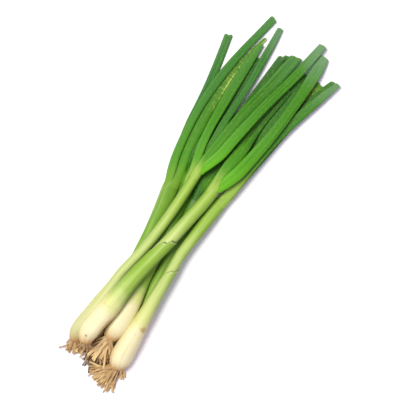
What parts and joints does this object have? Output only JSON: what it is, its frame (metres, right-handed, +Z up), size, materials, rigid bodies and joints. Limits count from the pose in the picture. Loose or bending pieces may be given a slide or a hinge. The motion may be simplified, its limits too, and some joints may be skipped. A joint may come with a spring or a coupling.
{
  "type": "spring_onion_bunch",
  "caption": "Loose bunch of spring onions lying flat, with small white bulbs, tan root tufts, pale green stalks and flattened green leaves cut off at the tips.",
  "frame": {"origin": "middle of the bunch's bounding box in plan, on the surface that it lies on", "axes": "+X from the roots to the leaf ends along the bunch, +Z up from the surface"},
  "size_m": [0.3706, 0.1132, 0.0306],
  "materials": {
    "stalk": "smooth and slightly waxy, white at the bulb and pale green above it",
    "leaf": "waxy green with fine ribs along it",
    "root": "dry tan strands, dull"
  },
  "bodies": {
    "root": {"onion_1_stalk": "stalk", "onion_1_roots": "root", "onion_1_leaf_1": "leaf", "onion_1_leaf_2": "leaf", "onion_1_leaf_3": "leaf", "onion_2_stalk": "stalk", "onion_2_roots": "root", "onion_2_leaf_1": "leaf", "onion_2_leaf_2": "leaf", "onion_2_leaf_3": "leaf", "onion_3_stalk": "stalk", "onion_3_roots": "root", "onion_3_leaf_1": "leaf", "onion_3_leaf_2": "leaf", "onion_3_leaf_3": "leaf", "onion_4_stalk": "stalk", "onion_4_roots": "root", "onion_4_leaf_1": "leaf", "onion_4_leaf_2": "leaf", "onion_4_leaf_3": "leaf", "onion_5_stalk": "stalk", "onion_5_roots": "root", "onion_5_leaf_1": "leaf", "onion_5_leaf_2": "leaf", "onion_5_leaf_3": "leaf", "onion_6_stalk": "stalk", "onion_6_roots": "root", "onion_6_leaf_1": "leaf", "onion_6_leaf_2": "leaf"}
  },
  "joints": []
}
